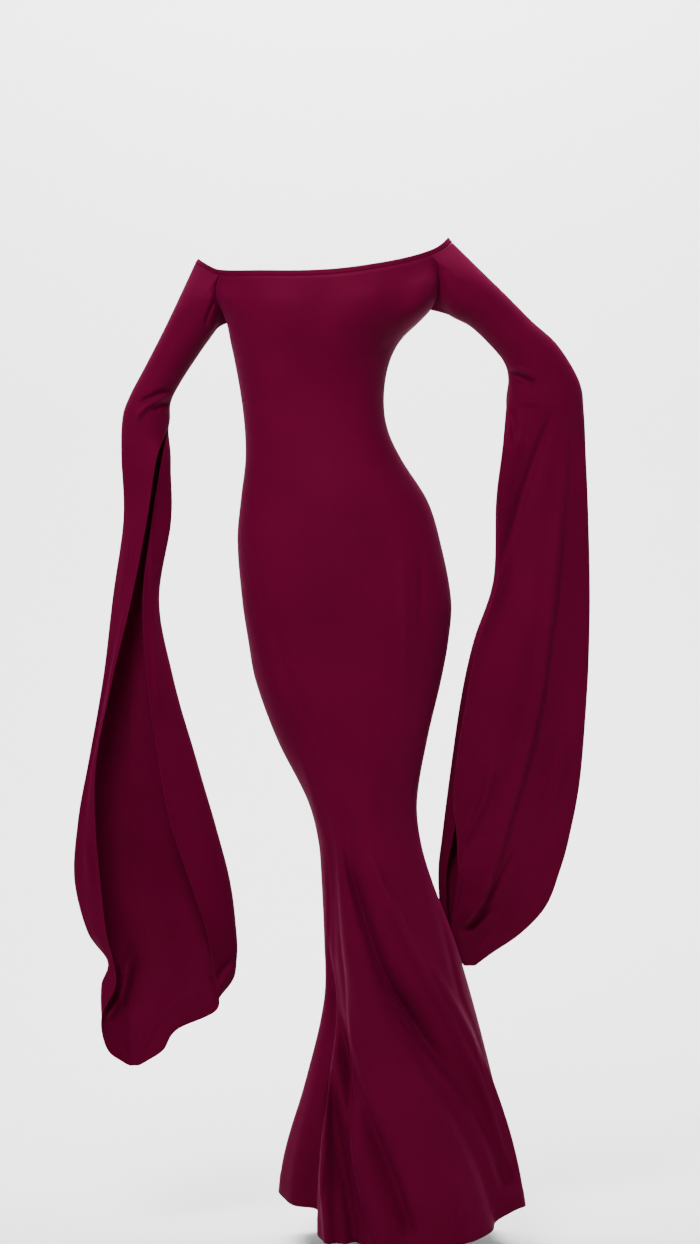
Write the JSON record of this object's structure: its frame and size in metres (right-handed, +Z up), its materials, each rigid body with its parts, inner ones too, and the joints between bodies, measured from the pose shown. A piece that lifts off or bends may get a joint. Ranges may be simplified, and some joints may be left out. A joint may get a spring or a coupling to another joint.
{
  "type": "mermaid gown",
  "caption": "Off-the-shoulder jersey gown, fitted to the knee and flared to the floor, with very long open drapes falling from the elbows of its fitted sleeves.",
  "frame": {"origin": "middle of the neckline, where the wearer's bust and upper arms hold the gown up", "axes": "+Z up, +X to the right of someone facing the gown, -Y out of its front"},
  "size_m": [0.7764, 0.4232, 1.4813],
  "materials": {
    "jersey": "matte stretch jersey with a soft sheen",
    "casing": "the same jersey, folded over elastic and topstitched"
  },
  "bodies": {
    "root": {"gown_front": "jersey", "gown_back": "jersey", "sleeve_right": "jersey", "sleeve_left": "jersey", "neckline_casing": "casing"}
  },
  "joints": []
}
